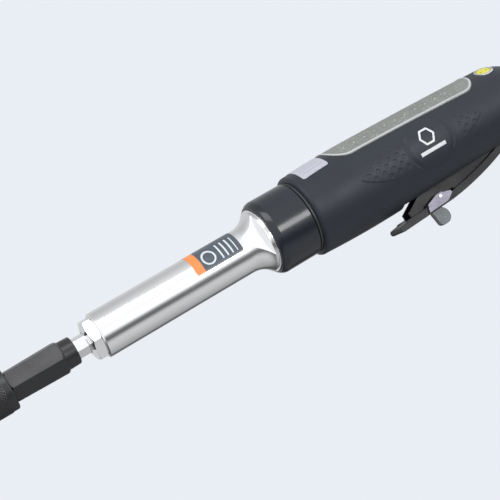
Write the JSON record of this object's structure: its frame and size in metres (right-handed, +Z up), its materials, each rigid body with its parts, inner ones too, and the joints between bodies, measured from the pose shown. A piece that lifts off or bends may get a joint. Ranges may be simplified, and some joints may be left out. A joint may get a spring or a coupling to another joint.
{
  "type": "extended straight air tool",
  "caption": "Straight lever-throttle air tool with a rubber grip, planetary reduction, long polished neck and a quick-change hex chuck.",
  "frame": {"origin": "mouth of the air inlet thread, on the tool axis", "axes": "+X out of the air inlet along the tool axis, chuck towards -X, +Z up away from the throttle lever"},
  "size_m": [0.3681, 0.0488, 0.068],
  "materials": {
    "black_housing": "black painted die-cast aluminium",
    "grip_rubber": "soft matt rubber with a fine grain",
    "grey_insert": "moulded grey elastomer with a lighter rim",
    "silver_label": "printed foil",
    "black_nut": "smooth glossy black enamel",
    "polished_steel": "polished and lightly worn",
    "neck_sticker": "printed vinyl in orange and dark slate",
    "seal_rubber": "nitrile",
    "black_oxide": "satin black oxide",
    "spring_steel": "drawn wire",
    "machined_steel": "ground and turned",
    "vane_resin": "cotton-filled phenolic",
    "lever_black": "black powder coat",
    "bracket_steel": "zinc plated sheet",
    "slate_tab": "slate grey coated",
    "brass": "turned brass",
    "muffler_felt": "pressed felt",
    "deflector_plastic": "black moulded nylon",
    "yellow_dial": "moulded yellow",
    "bezel_chrome": "plated ring"
  },
  "bodies": {
    "handle": {"motor_housing": "black_housing", "rubber_grip": "grip_rubber", "top_insert": "grey_insert", "rating_label": "silver_label", "clamp_nut": "black_nut", "neck_housing": "polished_steel", "neck_label": "neck_sticker", "nose_cap": "polished_steel", "nose_seal": "seal_rubber", "nose_bearing_outer": "machined_steel", "neck_bearing_outer": "machined_steel", "ring_gear": "machined_steel", "front_plate": "machined_steel", "rear_plate": "machined_steel", "cylinder_liner": "machined_steel", "liner_dowel": "machined_steel", "rotor_front_bearing_outer": "machined_steel", "rotor_rear_bearing_outer": "machined_steel", "lever_pin": "machined_steel", "valve_seat": "brass", "valve_bush": "brass", "valve_spring": "spring_steel", "inlet_bushing": "machined_steel", "inlet_screen": "brass", "muffler_ring": "muffler_felt", "regulator_bezel": "bezel_chrome"},
    "rotor": {"rotor": "machined_steel", "vanes": "vane_resin", "rotor_front_bearing_inner": "machined_steel", "rotor_rear_bearing_inner": "machined_steel"},
    "spindle": {"output_spindle": "polished_steel", "nose_bearing_inner": "machined_steel", "neck_bearing_inner": "machined_steel", "planet_pins": "machined_steel", "planet_retainer": "machined_steel", "chuck_body": "black_oxide", "chuck_washer": "spring_steel", "chuck_snap_ring": "spring_steel", "chuck_spring": "spring_steel"},
    "planet_1": {"planet_gear_1": "machined_steel"},
    "planet_2": {"planet_gear_2": "machined_steel"},
    "planet_3": {"planet_gear_3": "machined_steel"},
    "nose_balls": {"nose_bearing_balls": "machined_steel"},
    "neck_balls": {"neck_bearing_balls": "machined_steel"},
    "rotor_front_balls": {"rotor_front_bearing_balls": "machined_steel"},
    "rotor_rear_balls": {"rotor_rear_bearing_balls": "machined_steel"},
    "sleeve": {"chuck_sleeve": "black_oxide"},
    "upper_detent": {"detent_ball_upper": "machined_steel"},
    "lower_detent": {"detent_ball_lower": "machined_steel"},
    "lever": {"throttle_lever": "lever_black", "tab_bracket": "bracket_steel", "tab_pin": "machined_steel", "tab_spring": "spring_steel"},
    "tab": {"lock_tab": "slate_tab"},
    "valve": {"valve_stem": "brass"},
    "deflector": {"exhaust_deflector": "deflector_plastic"},
    "regulator": {"regulator_dial": "yellow_dial"}
  },
  "joints": [
    {"name": "rotor_spin", "type": "hinge", "parent": "handle", "child": "rotor", "pos_m": [-0.142, 0, 0], "axis": [1, 0, 0], "continuous": true},
    {"name": "spindle_spin", "type": "hinge", "parent": "handle", "child": "spindle", "pos_m": [-0.29, 0, 0], "axis": [1, 0, 0], "continuous": true},
    {"name": "planet_1_spin", "type": "hinge", "parent": "spindle", "child": "planet_1", "pos_m": [-0.1804, 0, 0.00945], "axis": [1, 0, 0], "continuous": true},
    {"name": "planet_2_spin", "type": "hinge", "parent": "spindle", "child": "planet_2", "pos_m": [-0.1804, -0.00818, -0.00473], "axis": [1, 0, 0], "continuous": true},
    {"name": "planet_3_spin", "type": "hinge", "parent": "spindle", "child": "planet_3", "pos_m": [-0.1804, 0.00818, -0.00473], "axis": [1, 0, 0], "continuous": true},
    {"name": "nose_balls_roll", "type": "hinge", "parent": "handle", "child": "nose_balls", "pos_m": [-0.2822, 0, 0], "axis": [1, 0, 0], "continuous": true},
    {"name": "neck_balls_roll", "type": "hinge", "parent": "handle", "child": "neck_balls", "pos_m": [-0.1906, 0, 0], "axis": [1, 0, 0], "continuous": true},
    {"name": "rotor_front_balls_roll", "type": "hinge", "parent": "handle", "child": "rotor_front_balls", "pos_m": [-0.1665, 0, 0], "axis": [1, 0, 0], "continuous": true},
    {"name": "rotor_rear_balls_roll", "type": "hinge", "parent": "handle", "child": "rotor_rear_balls", "pos_m": [-0.1179, 0, 0], "axis": [1, 0, 0], "continuous": true},
    {"name": "sleeve_slide", "type": "slide", "parent": "spindle", "child": "sleeve", "axis": [-1, 0, 0], "range_m": [0, 0.004], "stiffness_N_per_m": 1500, "springref_m": -0.004, "deforming": ["chuck_spring"]},
    {"name": "upper_detent_slide", "type": "slide", "parent": "spindle", "child": "upper_detent", "axis": [0, 0, 1], "range_m": [0, 0.001]},
    {"name": "lower_detent_slide", "type": "slide", "parent": "spindle", "child": "lower_detent", "axis": [0, 0, -1], "range_m": [0, 0.001]},
    {"name": "lever_press", "type": "hinge", "parent": "handle", "child": "lever", "pos_m": [-0.042, 0, -0.0168], "axis": [0, 1, 0], "range_deg": [0, 4.8], "stiffness_Nm_per_rad": 2, "springref_deg": -8.59},
    {"name": "valve_lift", "type": "slide", "parent": "handle", "child": "valve", "axis": [0, 0, 1], "range_m": [0, 0.0031], "deforming": ["valve_spring"]},
    {"name": "tab_swing", "type": "hinge", "parent": "lever", "child": "tab", "pos_m": [-0.09205, 0, -0.02829], "axis": [0, 1, 0], "range_deg": [0, 30], "stiffness_Nm_per_rad": 0.02, "springref_deg": -11.46, "deforming": ["tab_spring"]},
    {"name": "deflector_turn", "type": "hinge", "parent": "handle", "child": "deflector", "pos_m": [-0.0096, 0, 0], "axis": [1, 0, 0], "continuous": true},
    {"name": "regulator_turn", "type": "hinge", "parent": "handle", "child": "regulator", "pos_m": [-0.03, -0.01047, 0.01969], "axis": [0, -0.4695, 0.8829], "range_deg": [-90, 90]}
  ],
  "couplings": [
    {"joint": "spindle_spin", "follows": "rotor_spin", "ratio": 0.22222},
    {"joint": "planet_1_spin", "follows": "rotor_spin", "ratio": -0.62222},
    {"joint": "planet_2_spin", "follows": "rotor_spin", "ratio": -0.62222},
    {"joint": "planet_3_spin", "follows": "rotor_spin", "ratio": -0.62222},
    {"joint": "nose_balls_roll", "follows": "rotor_spin", "ratio": 0.097037},
    {"joint": "neck_balls_roll", "follows": "rotor_spin", "ratio": 0.094017},
    {"joint": "rotor_front_balls_roll", "follows": "rotor_spin", "ratio": 0.4069},
    {"joint": "rotor_rear_balls_roll", "follows": "rotor_spin", "ratio": 0.4069},
    {"joint": "upper_detent_slide", "follows": "sleeve_slide", "ratio": 0.25},
    {"joint": "lower_detent_slide", "follows": "sleeve_slide", "ratio": 0.25},
    {"joint": "valve_lift", "follows": "lever_press", "m_per_rad": 0.036}
  ]
}
